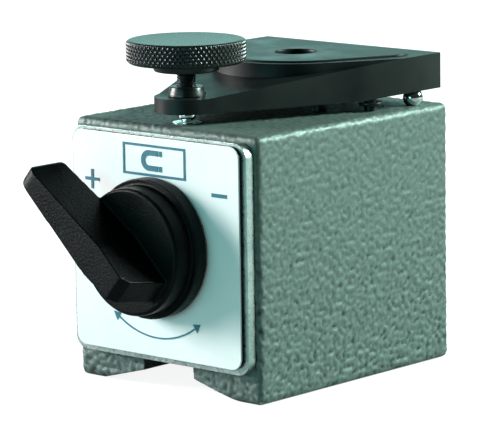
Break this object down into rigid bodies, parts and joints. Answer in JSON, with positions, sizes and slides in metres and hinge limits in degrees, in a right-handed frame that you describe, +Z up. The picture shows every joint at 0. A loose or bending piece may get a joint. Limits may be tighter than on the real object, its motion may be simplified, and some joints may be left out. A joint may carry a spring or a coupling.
{
  "type": "switchable magnetic base",
  "caption": "Switchable magnetic stand base: V-grooved steel block with rotary lever and a rocking top arm, fine-adjusted by a knurled screw, with a threaded column hole.",
  "frame": {"origin": "middle of the underside, between the two feet, on the plane that the feet stand on", "axes": "+Z up, -Y towards the switch lever, +X to the right seen from the lever's side"},
  "size_m": [0.05, 0.0816, 0.0708],
  "materials": {
    "painted_steel": "hammertone",
    "brass": "satin",
    "bronze": "satin",
    "zinc": "satin",
    "label_foil": "brushed",
    "label_ink": "printed",
    "foam": "matte",
    "steel": "turned",
    "black_steel": "black oxide",
    "bright_steel": "polished",
    "magnet": "ground",
    "hub_alloy": "turned",
    "black_plastic": "moulded, fine texture",
    "rubber": "matte",
    "black_anodised": "anodised"
  },
  "bodies": {
    "base": {"left_pole": "painted_steel", "right_pole": "painted_steel", "top_spacer": "brass", "bottom_spacer": "brass", "cross_pins": "brass", "bezel_plate": "zinc", "bezel_screws": "steel", "label_pad": "foam", "label_plate": "label_foil", "label_marks": "label_ink", "front_bush": "bronze", "rear_bush": "bronze", "rear_cover": "zinc", "rear_screws": "steel", "stop_pin": "steel", "detent_ball": "bright_steel", "detent_spring": "steel", "screw_anvil": "bright_steel", "fulcrum_balls": "bright_steel", "guide_pins": "black_steel", "hold_down_screws": "black_steel", "hold_down_washers": "steel", "hold_down_springs": "steel"},
    "switch": {"switch_knob": "black_plastic", "knob_insert": "brass", "knob_set_screw": "black_steel", "seal_ring": "rubber", "rotor_shaft": "steel", "retaining_ring": "black_steel", "front_hub": "hub_alloy", "rotor_magnet": "magnet", "rear_hub": "hub_alloy", "thrust_washer": "bronze"},
    "arm": {"adjusting_arm": "black_anodised", "cover_plate": "black_anodised", "thread_insert": "black_steel", "screw_bush": "black_anodised"},
    "tip": {"screw_tip": "bright_steel"},
    "screw": {"adjusting_screw": "black_steel", "screw_knob": "black_anodised", "knob_pin": "steel"}
  },
  "joints": [
    {"name": "switch_turn", "type": "hinge", "parent": "base", "child": "switch", "pos_m": [0, 0, 0.0299], "axis": [0, 1, 0], "range_deg": [0, 100]},
    {"name": "arm_tilt", "type": "hinge", "parent": "base", "child": "arm", "pos_m": [0, 0.0226, 0.0555], "axis": [-1, 0, 0], "range_deg": [-1.3, 1.3], "deforming": ["hold_down_springs"]},
    {"name": "tip_slide", "type": "slide", "parent": "arm", "child": "tip", "axis": [0, 0, -1], "range_m": [-0.00105, 0.00105]},
    {"name": "screw_turn", "type": "hinge", "parent": "tip", "child": "screw", "pos_m": [0, -0.023, 0.06], "axis": [0, 0, -1], "range_deg": [-720, 720]}
  ],
  "couplings": [
    {"joint": "arm_tilt", "follows": "screw_turn", "ratio": 0.0017451},
    {"joint": "tip_slide", "follows": "screw_turn", "m_per_rad": 0.000079577}
  ]
}
